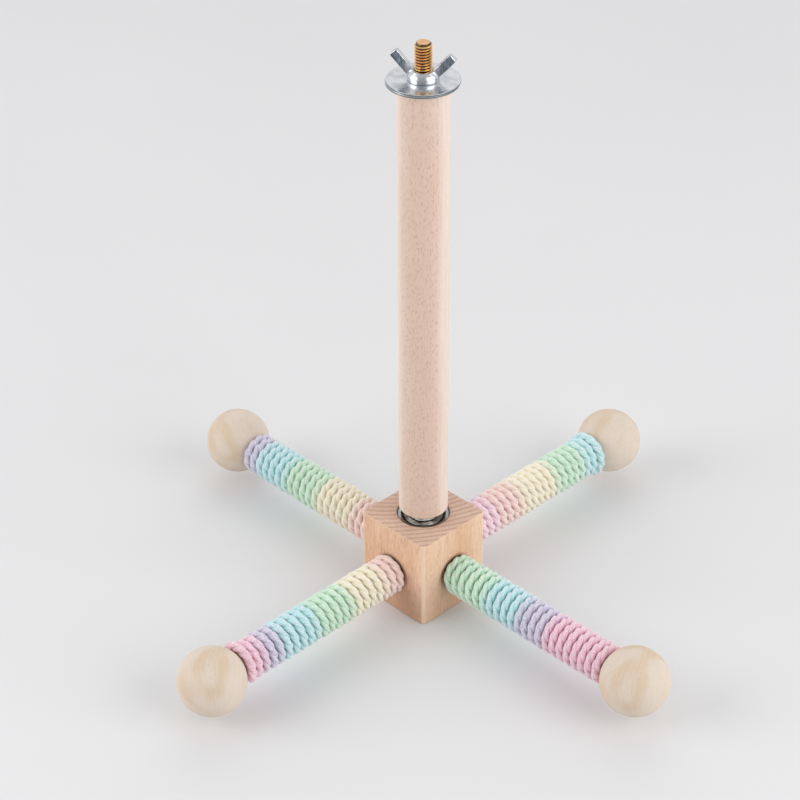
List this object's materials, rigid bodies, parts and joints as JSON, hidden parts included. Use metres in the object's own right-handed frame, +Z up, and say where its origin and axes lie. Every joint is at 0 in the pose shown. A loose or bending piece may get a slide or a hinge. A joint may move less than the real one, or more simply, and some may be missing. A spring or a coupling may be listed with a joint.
{
  "type": "bird playground",
  "caption": "Rotating bird perch: beech post with a clamp stud and wing nut on top, and a wooden hub below that spins on a ball bearing with rope-wound perch arms ending in wooden balls.",
  "frame": {"origin": "centre of the hub's underside, on the surface the part stands on", "axes": "+Z up along the post; the four perch arms lie along +X, +Y, -X and -Y"},
  "size_m": [0.2278, 0.2278, 0.22],
  "materials": {
    "post_beech": "sanded pale beech, unvarnished",
    "hub_wood": "sanded orange-tan wood, end grain on top",
    "ball_wood": "smooth pale turned wood",
    "dowel_wood": "plain dowel",
    "rope_cotton": "twisted cotton rope in pastel bands",
    "yellow_zinc": "yellow-passivated zinc on steel",
    "zinc": "bright zinc plate",
    "bearing_steel": "ground bearing steel",
    "cage_nylon": "natural nylon"
  },
  "bodies": {
    "mast": {"post": "post_beech", "hanger_bolt": "yellow_zinc", "lower_washer": "zinc", "axle_bolt": "yellow_zinc", "spacer_nut": "zinc", "lock_nut": "zinc", "bearing_inner_ring": "bearing_steel"},
    "carousel": {"hub_block": "hub_wood", "bearing_outer_ring": "bearing_steel", "bearing_shield_upper": "bearing_steel", "bearing_shield_lower": "bearing_steel", "perch_dowel_1": "dowel_wood", "perch_rope_1": "rope_cotton", "end_ball_1": "ball_wood", "perch_dowel_2": "dowel_wood", "perch_rope_2": "rope_cotton", "end_ball_2": "ball_wood", "perch_dowel_3": "dowel_wood", "perch_rope_3": "rope_cotton", "end_ball_3": "ball_wood", "perch_dowel_4": "dowel_wood", "perch_rope_4": "rope_cotton", "end_ball_4": "ball_wood"},
    "ball_train": {"bearing_balls": "bearing_steel", "bearing_cage": "cage_nylon"},
    "clamp_washer": {"upper_washer": "zinc"},
    "clamp_nut": {"wing_nut": "zinc"}
  },
  "joints": [
    {"name": "carousel_spin", "type": "hinge", "parent": "mast", "child": "carousel", "pos_m": [0, 0, 0.0311], "axis": [0, 0, 1], "continuous": true},
    {"name": "cage_orbit", "type": "hinge", "parent": "mast", "child": "ball_train", "pos_m": [0, 0, 0.0311], "axis": [0, 0, 1], "continuous": true},
    {"name": "washer_lift", "type": "slide", "parent": "mast", "child": "clamp_washer", "axis": [0, 0, 1], "range_m": [0, 0.007]},
    {"name": "wing_nut_turn", "type": "hinge", "parent": "clamp_washer", "child": "clamp_nut", "pos_m": [0, 0, 0.2071], "axis": [0, 0, 1], "range_deg": [0, 2520]}
  ],
  "couplings": [
    {"joint": "cage_orbit", "follows": "carousel_spin", "ratio": 0.64},
    {"joint": "wing_nut_turn", "follows": "washer_lift", "rad_per_m": 6283.2}
  ]
}
